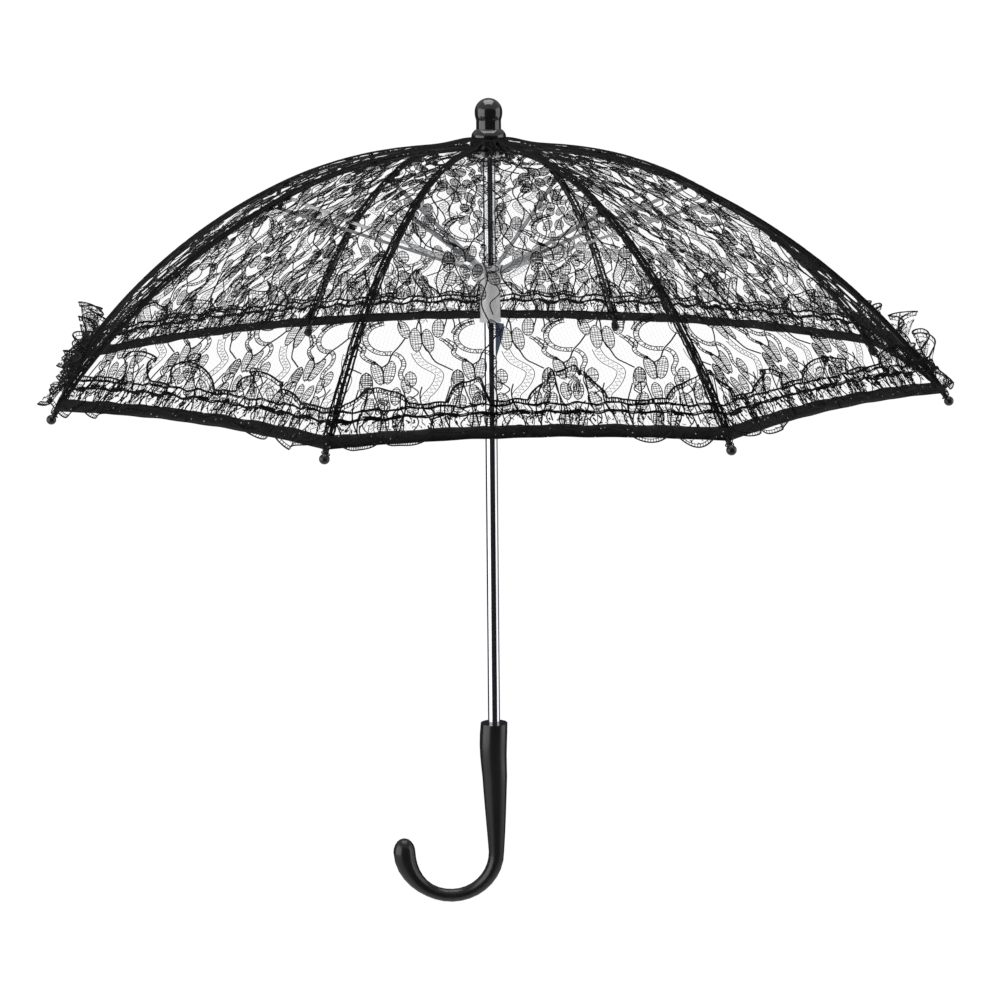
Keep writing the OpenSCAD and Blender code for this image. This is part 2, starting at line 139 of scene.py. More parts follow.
def on_gore(g, q, y, out=0.0):
    """A point of gore g. q is -1 on the rib before it, 0 in the middle and 1 on the next rib."""
    g, q, y, out = np.broadcast_arrays(*(np.asarray(v, float) for v in (g, q, y, out)))
    up = np.clip(y / LENGTH, 0, 1)
    free = 1 - q ** 2
    a = slope_at(y + HEM_RISE * free * (1 - up) ** 3)
    r, z = on_curve(a)
    phi = FIRST + (g - 0.5) * TURN
    rib = phi + np.where(q > 0, HALF, -HALF)
    across = q * half_width(y)
    near = np.abs(q) ** 8
    nx = (1 - near) * np.cos(phi) * np.sin(a) + near * np.cos(rib) * np.sin(a)
    ny = (1 - near) * np.sin(phi) * np.sin(a) + near * np.sin(rib) * np.sin(a)
    nz = np.cos(a) * ((1 - near) * math.cos(HALF) + near)
    size = np.sqrt(nx ** 2 + ny ** 2 + nz ** 2)
    ripple = 0.7 * np.sin(across / 5.5 + y / 21 + 2 * g) * np.sin(y / 13 - across / 17)
    h = LIFT + out + free * (ripple - SAG * np.sin(np.pi * up)) * np.minimum(1, r / 60)
    h = h + APEX_RISE * np.exp(-((r - TOP_R) / APEX_REACH) ** 2)
    return np.stack([
        r * math.cos(HALF) * np.cos(phi) - across * np.sin(phi) + h * nx / size,
        r * math.cos(HALF) * np.sin(phi) + across * np.cos(phi) + h * ny / size,
        z + h * nz / size], -1)


# The frill is a strip gathered on to the gores. s runs along the strip, t up from the hem.
GATHER = 1.32
STRIP_W = GATHER * HEM_W     # of strip in one gore
STITCH = (14.0, 20.2)        # the two lines that hold it
FRILL_OUT = 3.0              # how far it stands off the lace where it is sewn
CORNER = 20.0                # how far from a rib the frill's edge stays short
FOLDS = 83                   # of the frill, all the way round
SCALLOPS = 7                 # of its edges, in one gore


def fold_phase(p):
    """How far the frill's folds have turned at p gores along the hem."""
    turns = 2 * np.pi / ARMS
    return FOLDS * turns * p + 1.4 * np.sin(5 * turns * p + 0.7) + 1.1 * np.sin(13 * turns * p + 2.1)


def on_frill(s, t, out=0.0):
    """A point of the frill, which stands out above its stitches and hangs below them."""
    s, t, out = np.broadcast_arrays(*(np.asarray(v, float) for v in (s, t, out)))
    p = s / STRIP_W
    fold = 0.5 + 0.5 * np.sin(fold_phase(p))
    top = np.maximum(0, t - STITCH[1])
    low = np.maximum(0, STITCH[0] - t)
    lean = np.radians(12 + 42 * fold + 8 * np.sin(7 * p))
    y = t - top * (1 - np.cos(lean))
    h = FRILL_OUT + top * np.sin(lean) + low * (0.05 + 0.16 * fold) + 2.2 * fold + out
    p = p + (0.13 * top + 0.05 * low) * np.cos(fold_phase(p) + 0.4) / HEM_W
    g = np.floor(p)
    return on_gore(g + 1, 2 * (p - g) - 1, y, h)


def frill_top(s):
    """The height of the strip's upper edge, with its humps and picots."""
    bent = s + 14 * np.sin(s / 43) + 4 * np.sin(s / 17 + 1)
    hump = np.maximum(np.sin(np.pi * bent * SCALLOPS / STRIP_W) + 0.25, 0) ** 0.65
    picot = np.abs(np.sin(s / 5.2 + np.sin(s / 31)))
    return 22.4 + (12.5 + 4 * np.sin(s / 61)) * hump + 1.5 * picot * np.minimum(1, 0.4 + hump)


def frill_bottom(s):
    """The height of the strip's lower edge, which is short over the ribs."""
    bent = s + 6 * np.sin(s / 37)
    scallop = np.abs(np.sin(np.pi * bent * SCALLOPS / STRIP_W + 0.4))
    from_rib = (s / STRIP_W - np.round(s / STRIP_W)) * STRIP_W
    short = 1 - np.exp(-(from_rib / CORNER) ** 2)
    return 1.5 - np.maximum(0, 5.5 + 7.5 * np.sin(s / 47 + 1)) * scallop ** 0.6 * short


# ---------------------------------------------------------------- meshes

def make_mesh(name, points, quads, tris=None, material=None, uv=None, smooth=False):
    """An object from points in millimetres and rows of corner numbers."""
    tris = np.zeros((0, 3), int) if tris is None else np.asarray(tris)
    loops = np.concatenate([np.asarray(quads).ravel(), tris.ravel()]).astype(np.int32)
    sizes = np.concatenate([np.full(len(quads), 4), np.full(len(tris), 3)]).astype(np.int32)
    mesh = bpy.data.meshes.new(name)
    mesh.vertices.add(len(points))
    mesh.vertices.foreach_set("co", (np.asarray(points) * MM).astype(np.float32).ravel())
    mesh.loops.add(len(loops))
    mesh.loops.foreach_set("vertex_index", loops)
    mesh.polygons.add(len(sizes))
    mesh.polygons.foreach_set("loop_start", np.concatenate([[0], np.cumsum(sizes)[:-1]]).astype(np.int32))
    mesh.polygons.foreach_set("use_smooth", np.full(len(sizes), smooth))
    if uv is not None:
        mesh.uv_layers.new(name="flat").data.foreach_set("uv", np.asarray(uv, np.float32).ravel())
    mesh.materials.append(material)
    mesh.update(calc_edges=True)
    mesh.validate()
    piece = bpy.data.objects.new(name, mesh)
    bpy.context.scene.collection.objects.link(piece)
    return piece


def grid_quads(rows, cols):
    """The faces of a grid of points."""
    i = (np.arange(rows - 1)[:, None] * cols + np.arange(cols - 1)[None]).ravel()
    return np.stack([i, i + 1, i + cols + 1, i + cols], 1)


def prisms(points, normals, segments, width, height):
    """Threads as three-sided prisms: a foot on either side of each point, and a ridge above it."""
    i, j = segments[:, 0], segments[:, 1]
    along = np.zeros_like(points)
    step = points[j] - points[i]
    np.add.at(along, i, step)
    np.add.at(along, j, step)
    side = np.cross(normals, along)
    side /= np.maximum(np.linalg.norm(side, axis=1), 1e-9)[:, None]
    foot = side * width[:, None] / 2
    n = len(points)
    verts = np.concatenate([points - foot, points + normals * height[:, None], points + foot])
    quads = np.concatenate([
        np.stack([i, j, j + n, i + n], 1), np.stack([i + n, j + n, j + 2 * n, i + 2 * n], 1),
        np.stack([i + 2 * n, j + 2 * n, j, i], 1)])
    first = np.setdiff1d(i, j)
    last = np.setdiff1d(j, i)
    caps = np.concatenate([np.stack([first, first + n, first + 2 * n], 1),
                           np.stack([last + 2 * n, last + n, last], 1)])
    return verts, quads, caps


class Threads:
    """Threads drawn flat, each with a width and a height, until a surface takes them."""

    def __init__(self):
        self.lines = []

    def add(self, line, width, height=None):
        self.lines.append((np.asarray(line, float), width, height or 0.7 * width))

    def arrays(self):
        flat = np.concatenate([line for line, _, _ in self.lines])
        owner = np.repeat(np.arange(len(self.lines)), [len(line) for line, _, _ in self.lines])
        width = np.array([w for _, w, _ in self.lines])[owner]
        height = np.array([h for _, _, h in self.lines])[owner]
        return flat, owner, width, height


# ---------------------------------------------------------------- lace drawn flat

def resample(line, step):
    """The line with points about a step apart."""
    line = np.asarray(line, float)
    run = np.concatenate([[0], np.cumsum(np.hypot(*np.diff(line, axis=0).T))])
    at = np.linspace(0, run[-1], max(2, int(math.ceil(run[-1] / step)) + 1))
    return np.stack([np.interp(at, run, line[:, 0]), np.interp(at, run, line[:, 1])], 1)


def curve(points, step=1.6):
    """A smooth line through the points."""
    p = np.asarray(points, float)
    if len(p) > 2:
        ends = np.concatenate([[2 * p[0] - p[1]], p, [2 * p[-1] - p[-2]]])
        t = np.linspace(0, 1, 9)[:-1, None]
        spans = [0.5 * (2 * b + (c - a) * t + (2 * a - 5 * b + 4 * c - d) * t ** 2
                        + (3 * b - a - 3 * c + d) * t ** 3)
                 for a, b, c, d in zip(ends, ends[1:], ends[2:], ends[3:])]
        p = np.concatenate(spans + [p[-1:]])
    return resample(p, step)


RADIAN = 57.3                # degrees


def arc(cx, cy, radius, start, end, step=1.6):
    """Part of a circle, from one angle to another in degrees."""
    count = max(3, int(abs(end - start) * radius / RADIAN / step) + 1)
    a = np.radians(np.linspace(start, end, count))
    return np.stack([cx + radius * np.cos(a), cy + radius * np.sin(a)], 1)


def beside(line, off):
    """A line at a distance to the left of another."""
    d = np.gradient(line, axis=0)
    d /= np.maximum(np.hypot(d[:, 0], d[:, 1]), 1e-9)[:, None]
    return line + off * np.stack([-d[:, 1], d[:, 0]], 1)


def uneven(n, spread):
    """n small offsets that don't repeat, between -spread and spread."""
    return spread * np.sin(np.arange(n) * 2.4 + 1.7 * np.sin(np.arange(n) * 5.1))


def ladder(threads, line, width, pitch=1.6, rail=0.6, rung=0.42):
    """Two rails with uneven rungs between them."""
    fine = resample(line, pitch)
    left, right = beside(fine, width / 2), beside(fine, -width / 2)
    threads.add(resample(left, 1.6), rail)
    threads.add(resample(right, 1.6), rail)
    slant = uneven(len(fine), 0.5)[:, None] * np.gradient(fine, axis=0) / pitch
    left, right = left + slant, right - slant
    for i, (a, b) in enumerate(zip(left, right)):
        if i % 5 != 3:
            threads.add([a, b], rung)
        if i % 3 == 1 and i + 1 < len(right):
            threads.add([a, right[i + 1]], rung * 0.8)


def ribbon(threads, line, width, pitch=1.5, rail=0.45, zig=0.36):
    """Two rails with a zigzag between them."""
    fine = resample(line, pitch)
    left, right = beside(fine, width / 2), beside(fine, -width / 2)
    threads.add(resample(left, 1.8), rail)
    threads.add(resample(right, 1.8), rail)
    even = (np.arange(len(fine)) % 2 == 0)[:, None]
    middle = np.where(even, beside(fine, width * 0.32), beside(fine, -width * 0.32))
    threads.add(middle, zig)


def leaf(threads, x, y, width, height, lean=0.0, pitch=1.4, edge=0.55):
    """A leaf filled with a grid of threads. lean turns its top to the left, in degrees."""
    c, s = math.cos(math.radians(lean)), math.sin(math.radians(lean))

    def place(u, v):
        u, v = np.broadcast_arrays(np.asarray(u, float), np.asarray(v, float))
        return np.stack([x + u * c - v * s, y + u * s + v * c], -1)

    def half(v):
        return width / 2 * np.maximum(0, 1 - (2 * v / height) ** 2) ** 0.55

    v = np.linspace(-height / 2, height / 2, max(8, int(height / 1.4)))
    rim = np.concatenate([place(half(v), v), place(-half(v[::-1]), v[::-1])[1:]])
    threads.add(rim, edge)
    levels = np.arange(-height / 2 + pitch, height / 2 - 0.4, pitch)
    for level, tilt in zip(levels + uneven(len(levels), 0.25), uneven(len(levels), 0.3)):
        w = float(half(level))
        threads.add(place(np.array([-w, w]), np.array([level - tilt, level + tilt])), 0.38 + 0.4 * tilt)
    for u in np.arange(-width / 2 + 1.3, width / 2 - 0.6, 1.55):
        reach = height / 2 * math.sqrt(max(0, 1 - (abs(2 * u / width)) ** (1 / 0.55)))
        threads.add(place(u, np.array([-reach, 0, reach])), 0.27)


DRAWN_W = 50                 # across the repeat as it is drawn
TILE_W = 52.0                # and as it is laid on the gores
TILE_H = 100.0


def draw_tile():
    """One repeat of the lace, measured from the middle of its ring."""
    t = Threads()
    ladder(t, arc(0, 0, 11.6, 95, 285), 2.8, pitch=1.4)
    t.add(curve([(10.3, 0), (6.9, -6), (2.6, -12), (0.2, -18.8), (-3.2, -21.8)]), 0.9)
    ladder(t, curve([(4.1, -11.6), (7.5, -14.5), (8.8, -20.3), (6.6, -26.3), (7.5, -31)]), 2.3)
    ladder(t, curve([(-17.5, -1.5), (-13, -5.5), (-12.6, -9), (-13.8, -12), (-11, -15.8),
                     (-6.9, -18.6)]), 2.2)
    t.add(curve([(-11, -15.8), (-6.9, -18.8), (-3.4, -21.8), (-2.8, -27), (-2.6, -34)]), 0.85)
    leaf(t, -5.9, -26, 6.0, 17.5, 12)
    leaf(t, 0.7, -25.6, 6.2, 17.5, -11)
    leaf(t, 16.1, -1.5, 6.4, 19, 2)
    leaf(t, 22.8, -2.5, 6.4, 19, 4)
    leaf(t, 9.8, 6.6, 6, 14.5, 12)
    leaf(t, 28.9, 7.3, 6.6, 15.5, -5)
    t.add(curve([(19, 24), (18.6, 15), (19.3, 9), (19.6, -4), (22.8, -11.5), (26, -18.8), (31, -22.5),
                 (35.6, -25.6)]), 0.9)
    ladder(t, curve([(29.5, -1), (32, -3), (35, -7), (37, -10)]), 1.8)
    leaf(t, 37.7, -33.9, 7.2, 17.3, -3)
    ribbon(t, curve([(15.4, -11), (17, -16), (19.8, -20.5), (25.4, -25), (28, -28), (27, -33), (24, -39),
                     (19, -46), (21, -55), (26, -63), (23, -72), (19, -80), (21, -88)]), 4.6)
    leaf(t, 9.3, -36, 5, 11, 10)
    for side in (-1, 1):
        leaf(t, 12 * side, -31, 6.5, 12)
        leaf(t, 12 * side, -50, 7, 14, 12 * side)
        leaf(t, 4 * side, -62, 6, 15, 6 * side)
        t.add(curve([(12 * side, -36), (16 * side, -41), (12 * side, -45)]), 0.75)
        t.add(curve([(7 * side, -50), (4 * side, -54), (1.5 * side, -70), (0, -72)]), 0.75)
        t.add(curve([(13 * side, -55), (15 * side, -63), (9 * side, -72), (10 * side, -82)]), 0.7)
        leaf(t, 3.5 * side, -43, 5.6, 13, -8 * side)
    for x, sway, start in ((-15, 3.2, 0.3), (-7, 2.2, 2.6), (6.5, 2.4, 1.2), (20, 3.4, 4.0),
                           (32, 2.4, 5.3)):
        y = np.linspace(-37, -93, 12)
        t.add(curve(np.stack([x + sway * np.sin(y / 8 + start), y], 1)), 0.8)
    leaf(t, 0, -76, 5, 11)
    ladder(t, arc(0, -100, 13.4, 95, 165), 2.4)
    return t


def tiled(tile, shift_x, shift_y):
    """The tile repeated over and around a gore: flat points, owners, widths and heights, not yet clipped to
    it.
    """
    flat, owner, width, height = tile.arrays()
    parts = []
    count = 0
    for column in range(-4, 5):
        for row in range(-1, 4):
            moved = flat * [TILE_W / DRAWN_W, 1] + [column * TILE_W + shift_x, row * TILE_H + shift_y]
            parts.append((moved, owner + count, width, height))
            count += owner[-1] + 1
    return [np.concatenate(column) for column in zip(*parts)]


def segments_of(owner, inside=True):
    """Segments between neighbouring points of one thread that both lie inside."""
    inside = np.broadcast_to(inside, owner.shape)
    i = np.flatnonzero((owner[:-1] == owner[1:]) & inside[:-1] & inside[1:])
    return np.stack([i, i + 1], 1)


def on_lace(flat):
    """Which flat points lie on the gore, a little in from its edges."""
    inside = (flat[:, 1] > 1) & (flat[:, 1] < LENGTH - 1)
    return inside & (np.abs(flat[:, 0]) < half_width(np.clip(flat[:, 1], 0, LENGTH)) - 1)


def threads_on(surface, first, second, segments, width, height, out):
    """Prisms for the chosen segments of threads at (first, second) on a surface."""
    used, again = np.unique(segments, return_inverse=True)
    a, b = first[used], second[used]
    low = surface(a, b, out)
    normal = surface(a, b, out + 1.0) - low
    normal /= np.linalg.norm(normal, axis=1)[:, None]
    return prisms(low, normal, again.reshape(-1, 2), width[used], height[used])


def joined(parts):
    """Several (points, quads, triangles) as one."""
    start = np.cumsum([0] + [len(p) for p, _, _ in parts])
    return (np.concatenate([p for p, _, _ in parts]),
            np.concatenate([q + n for (_, q, _), n in zip(parts, start)]),
            np.concatenate([t + n for (_, _, t), n in zip(parts, start)]))


# ---------------------------------------------------------------- materials

def node_material(name):
    """A new material, with its tree, its shader and a helper that adds a node."""
    mat = bpy.data.materials.new(name)
    mat.use_nodes = True
    tree = mat.node_tree

    def add(kind, **values):
        node = tree.nodes.new(kind)
        for key, value in values.items():
            if hasattr(node, key):
                setattr(node, key, value)
            else:
                node.inputs[key.replace("_", " ")].default_value = value
        return node

    return mat, tree, tree.nodes["Principled BSDF"], add


def surface_material(name, dark, light, rough, metallic=0.0, grain=(40, 40, 40), bump=0.05,
                     rough_spread=0.08, sockets=None):
    """A material whose colour, roughness and relief vary with a noise stretched to its grain."""
    mat, tree, shader, add = node_material(name)
    link = tree.links.new
    place = add("ShaderNodeTexCoord")
    stretch = add("ShaderNodeMapping")
    stretch.inputs["Scale"].default_value = grain
    noise = add("ShaderNodeTexNoise", Scale=1.0, Detail=4.0, Roughness=0.6)
    link(place.outputs["Object"], stretch.inputs["Vector"])
    link(stretch.outputs["Vector"], noise.inputs["Vector"])
    ramp = add("ShaderNodeValToRGB")
    ramp.color_ramp.elements[0].position, ramp.color_ramp.elements[1].position = 0.35, 0.68
    ramp.color_ramp.elements[0].color, ramp.color_ramp.elements[1].color = (*dark, 1), (*light, 1)
    link(noise.outputs["Fac"], ramp.inputs["Fac"])
    link(ramp.outputs["Color"], shader.inputs["Base Color"])
    spread = add("ShaderNodeMapRange")
    spread.inputs["To Min"].default_value = max(0.02, rough - rough_spread)
    spread.inputs["To Max"].default_value = rough + rough_spread
    link(noise.outputs["Fac"], spread.inputs["Value"])
    link(spread.outputs["Result"], shader.inputs["Roughness"])
    relief = add("ShaderNodeBump", Strength=bump, Distance=0.0004)
    link(noise.outputs["Fac"], relief.inputs["Height"])
    link(relief.outputs["Normal"], shader.inputs["Normal"])
    shader.inputs["Metallic"].default_value = metallic
    for key, value in (sockets or {}).items():
        shader.inputs[key].default_value = value
    return mat


VECTORS = (4, 5)             # a Mix node's sockets for two vectors
COLOURS = (6, 7)             # and for two colours
NET_CELL = 2.7               # across a mesh of the lace's net
NET_THREAD = 0.24            # width of its soft thread


def net_material():
    """Black hexagonal net: opaque along the sides of the cells and clear inside them."""
    mat, tree, shader, add = node_material("lace_net")
    link = tree.links.new

    def feed(node, values):
        for socket, value in zip(node.inputs, values):
            if isinstance(value, (int, float, tuple)):
                socket.default_value = value
            else:
                link(value, socket)

    def vec(operation, *values):
        node = add("ShaderNodeVectorMath", operation=operation)
        feed(node, values)
        return node.outputs["Value" if operation in ("LENGTH", "DOT_PRODUCT") else "Vector"]

    def num(operation, *values):
        node = add("ShaderNodeMath", operation=operation)
        feed(node, values)
        return node.outputs[0]

    turned = add("ShaderNodeMapping")
    turned.inputs["Rotation"].default_value = (0, 0, math.pi / 2)
    link(add("ShaderNodeUVMap", uv_map="flat").outputs["UV"], turned.inputs["Vector"])
    uv = turned.outputs["Vector"]
    wobble = add("ShaderNodeTexNoise", Scale=0.12, Detail=1.0)
    link(uv, wobble.inputs["Vector"])
    spread = vec("MULTIPLY", wobble.outputs["Color"], (1.6, 1.6, 0))
    cells = vec("MULTIPLY", vec("ADD", uv, spread), (1 / NET_CELL, 1 / NET_CELL, 0))
    tall = math.sqrt(3) / 2
    low, high = (-0.5, -tall, -1), (0.5, tall, 1)
    first = vec("WRAP", cells, high, low)
    second = vec("WRAP", vec("ADD", cells, (0.5, tall, 0)), high, low)
    nearer = num("LESS_THAN", vec("LENGTH", first), vec("LENGTH", second))
    pick = add("ShaderNodeMix", data_type="VECTOR")
    link(nearer, pick.inputs["Factor"])
    link(second, pick.inputs[VECTORS[0]])
    link(first, pick.inputs[VECTORS[1]])
    local = vec("ABSOLUTE", pick.outputs[1])
    slope = vec("DOT_PRODUCT", local, (0.5, tall, 0))
    flat = add("ShaderNodeSeparateXYZ")
    link(local, flat.inputs[0])
    fainter = num("SUBTRACT", flat.outputs["X"], 0.2 * NET_THREAD / NET_CELL)
    edge = num("MAXIMUM", fainter, slope)
    alpha = add("ShaderNodeMapRange")
    alpha.inputs["From Min"].default_value = 0.5 - 0.65 * NET_THREAD / NET_CELL
    alpha.inputs["From Max"].default_value = 0.5 - 0.35 * NET_THREAD / NET_CELL
    alpha.inputs["To Max"].default_value = 0.2
    link(edge, alpha.inputs["Value"])
    link(alpha.outputs["Result"], shader.inputs["Alpha"])
    tint = add("ShaderNodeMix", data_type="RGBA")
    tint.inputs[COLOURS[0]].default_value = (0.008, 0.008, 0.009, 1)
    tint.inputs[COLOURS[1]].default_value = (0.018, 0.016, 0.017, 1)
    link(wobble.outputs["Fac"], tint.inputs["Factor"])
    link(tint.outputs[2], shader.inputs["Base Color"])
    shader.inputs["Roughness"].default_value = 0.75
    shader.inputs["Sheen Weight"].default_value = 0.06
    return mat


def satin_material():
    """Black satin tape, with scattered pale specks painted into its colour: painted light where light would
    come through needle holes, which the tape doesn't have.
    """
    mat = surface_material("satin_tape", (0.005, 0.005, 0.006), (0.014, 0.0125, 0.013), 0.52,
                           grain=(900, 900, 900), bump=0.3,
                           sockets={"Sheen Weight": 0.03, "Specular IOR Level": 0.15})
    tree = mat.node_tree
    shader = tree.nodes["Principled BSDF"]
    uv = tree.nodes.new("ShaderNodeUVMap")
    uv.uv_map = "flat"
    # Painted light: pale specks mixed into the base colour stand in for light showing through needle holes;
    # the tape has no real holes.
    dots = tree.nodes.new("ShaderNodeTexVoronoi")
    dots.inputs["Scale"].default_value = 0.32
    dots.inputs["Randomness"].default_value = 0.75
    painted_light_spot = tree.nodes.new("ShaderNodeMath")
    painted_light_spot.operation = "LESS_THAN"
    painted_light_spot.inputs[1].default_value = 0.135
    painted_light_mix = tree.nodes.new("ShaderNodeMix")
    painted_light_mix.data_type = "RGBA"
    tree.links.new(uv.outputs["UV"], dots.inputs["Vector"])
    tree.links.new(dots.outputs["Distance"], painted_light_spot.inputs[0])
    tree.links.new(painted_light_spot.outputs[0], painted_light_mix.inputs["Factor"])
    tree.links.new(shader.inputs["Base Color"].links[0].from_socket, painted_light_mix.inputs[COLOURS[0]])
    painted_light_mix.inputs[COLOURS[1]].default_value = (0.55, 0.55, 0.57, 1)
    tree.links.new(painted_light_mix.outputs[2], shader.inputs["Base Color"])
    return mat


THREAD = surface_material("lace_thread", (0.004, 0.0038, 0.004), (0.014, 0.0125, 0.0125), 0.68,
                          grain=(1400, 1400, 1400), bump=0.35,
                          sockets={"Sheen Weight": 0.02, "Specular IOR Level": 0.15})
NET = net_material()
SATIN = satin_material()
PLASTIC = surface_material("black_plastic", (0.010, 0.010, 0.011), (0.015, 0.015, 0.016), 0.3,
                           grain=(60, 60, 18), bump=0.04, rough_spread=0.06,
                           sockets={"Coat Weight": 0.35, "Coat Roughness": 0.12})
GLOSSY = surface_material("glossy_black_plastic", (0.012, 0.012, 0.013), (0.018, 0.018, 0.019), 0.13,
                          grain=(60, 60, 18), bump=0.02, rough_spread=0.03,
                          sockets={"Specular IOR Level": 1.0})
CHROME = surface_material("chrome_plate", (0.62, 0.63, 0.66), (0.78, 0.79, 0.81), 0.1, 1.0,
                          grain=(900, 900, 14), bump=0.03, rough_spread=0.03)
PALE = surface_material("pale_plastic", (0.76, 0.76, 0.77), (0.88, 0.88, 0.88), 0.42,
                        grain=(220, 220, 90), bump=0.08)
WIRE = surface_material("drawn_wire", (0.2, 0.2, 0.21), (0.4, 0.4, 0.41), 0.35, 1.0,
                        grain=(500, 500, 500), bump=0.1)
BLUED = surface_material("blued_steel", (0.11, 0.155, 0.26), (0.19, 0.25, 0.38), 0.34, 0.2,
                         grain=(160, 160, 60), bump=0.06)
ZINC = surface_material("zinc_steel", (0.55, 0.56, 0.59), (0.82, 0.83, 0.85), 0.36, 0.55,
                        grain=(260, 260, 260), bump=0.12)
ENAMEL = surface_material("black_enamel", (0.006, 0.006, 0.007), (0.016, 0.016, 0.017), 0.36,
                          grain=(300, 300, 300), bump=0.1, sockets={"Coat Weight": 0.2})
BLACKENED = surface_material("blackened_steel", (0.02, 0.02, 0.022), (0.06, 0.058, 0.056), 0.42, 0.7,
                             grain=(350, 350, 350), bump=0.15)
TAPE = surface_material("woven_tape", (0.006, 0.006, 0.006), (0.016, 0.0145, 0.0145), 0.7,
                        grain=(1500, 1500, 1500), bump=0.4,
                        sockets={"Sheen Weight": 0.03, "Specular IOR Level": 0.15})

FINISHES = {"tube": CHROME, "handle": PLASTIC, "crown": PALE, "crown_wire": WIRE, "finial": GLOSSY,
            "apex_washer": TAPE, "stop_pin": WIRE, "catch_pin": WIRE, "catch_spring": BLUED,
            "runner": PALE, "runner_wire": WIRE, "rib": ENAMEL, "rib_joint": BLACKENED,
            "ball_tip": PLASTIC, "stretcher": ZINC, "lace_panel": THREAD, "lace_trim": THREAD}
for name, node in frame["nodes"].items():
    kind = name if name in FINISHES else name.rsplit("_", 1)[0]
    node.data.materials.clear()
    node.data.materials.append(FINISHES[kind])


def shade_round(node, sharp=0.6):
    """Shades a faceted node as one round surface between its sharp edges. Its mesh stays as it is."""
    group = bpy.data.node_groups.new("shade_round", "GeometryNodeTree")
    for way in ("INPUT", "OUTPUT"):
        group.interface.new_socket("Geometry", in_out=way, socket_type="NodeSocketGeometry")
    weld = group.nodes.new("GeometryNodeMergeByDistance")
    weld.inputs["Distance"].default_value = 1e-6
    plain = group.nodes.new("GeometryNodeRemoveAttribute")
    plain.inputs["Name"].default_value = "custom_normal"
    faces = group.nodes.new("GeometryNodeSetShadeSmooth")
    edges = group.nodes.new("GeometryNodeSetShadeSmooth")
    edges.domain = "EDGE"
    edges.inputs["Shade Smooth"].default_value = False
    angle = group.nodes.new("GeometryNodeInputMeshEdgeAngle")
    steep = group.nodes.new("FunctionNodeCompare")
    steep.inputs["B"].default_value = sharp
    group.links.new(angle.outputs["Unsigned Angle"], steep.inputs["A"])
    group.links.new(steep.outputs["Result"], edges.inputs["Selection"])
    chain = [group.nodes.new("NodeGroupInput"), weld, plain, faces, edges,
             group.nodes.new("NodeGroupOutput")]
    for a, b in zip(chain, chain[1:]):
        group.links.new(a.outputs["Geometry"], b.inputs["Geometry"])
    node.modifiers.new("shade_round", "NODES").node_group = group


for name in ("handle", "finial"):
    shade_round(frame["nodes"][name])


# ---------------------------------------------------------------- the lace petals

def perimeter(k):
    """The stretch of gores that petal k covers, from the middle of one to the middle of the next."""
    return k - 1.5, k - 0.5


def on_petal(k, u, y, out=0.0):
    """u runs from -1 in the middle of the gore before rib k, through 0 on it, to 1."""
    before = u < 0
    return on_gore(np.where(before, k - 1, k), np.where(before, 1 + u, u - 1), y, out)


def flat_uv(quads, x, y):
    """The flat place of each corner of the faces."""
    return np.stack([x.ravel()[quads.ravel()], y.ravel()[quads.ravel()]], 1)


def make_sheet(k):
    """The net of petal k, as one curved sheet."""
    u, y = np.meshgrid(np.linspace(-1, 1, 33), np.linspace(0, LENGTH, 72))
    quads = grid_quads(*u.shape)
    return make_mesh(f"canopy_net_{k}", on_petal(k, u, y).reshape(-1, 3), quads, material=NET,
                     uv=flat_uv(quads, u * half_width(y) + 300 * k, y), smooth=True)


def band_solid(points_low, points_high, low_uv):
    """A closed strip between an inner and an outer grid of points."""
    rows, cols = points_low.shape[:2]
    n = rows * cols
    quads = grid_quads(rows, cols)
    inner = quads[:, ::-1] + n
    index = np.arange(n).reshape(rows, cols)
    walls = [np.stack([edge[:-1], edge[1:], edge[1:] + n, edge[:-1] + n], 1)
             for edge in (index[0, ::-1], index[-1], index[:, 0], index[::-1, -1])]
    every = np.concatenate([quads, inner] + walls)
    points = np.concatenate([points_high.reshape(-1, 3), points_low.reshape(-1, 3)])
    flat = np.concatenate([low_uv.reshape(-1, 2)] * 2)
    return points, every, flat[every.ravel()]


HEM_BAND = 8.4               # how far the satin tape reaches up from the lace's edge


def make_hem(k):
    """The satin tape folded over the lace's edge."""
    u, v = np.meshgrid(np.linspace(-1, 1, 81), np.linspace(0, 1, 7))
    y = -0.8 + HEM_BAND * v + 0.35 * np.sin(23 * u + k) * v
    puff = 0.55 * np.sin(np.pi * v) + 0.15 * np.sin(60 * u + 9 * v)
    points_low = on_petal(k, u, y, -0.55 - 0.2 * puff)
    points_high = on_petal(k, u, y, 0.35 + puff)
    uv = np.stack([u * HEM_W / 2 + 240 * k, y], -1)
    verts, quads, flat = band_solid(points_low, points_high, uv)
    return make_mesh(f"hem_tape_{k}", verts, quads, material=SATIN, uv=flat, smooth=True)


RING_HEIGHT = 74.4           # the lowest rings' middles above the hem
CUT_STEP = 17.0              # how far apart the gores' cuts fall across the lace


def motif_offset(g):
    """Where the cut of gore g falls on the lace."""
    return -25 + CUT_STEP * ((g * 5) % ARMS - 3), RING_HEIGHT


TILE = draw_tile()
GORE_LACE = {}
for g in range(1, ARMS + 1):
    flat, owner, width, height = tiled(TILE, *motif_offset(g))
    GORE_LACE[g] = (flat, width, height, segments_of(owner, on_lace(flat)))


def arm_point(k, radial, tangential, z):
    """Points from distances along arm k, beside it and up."""
    a = azimuth(k)
    return np.stack([radial * np.cos(a) - tangential * np.sin(a),
                     radial * np.sin(a) + tangential * np.cos(a), z + 0 * radial], -1)


FRINGE_R = 11.2              # the radius of the lace's edge round the crown


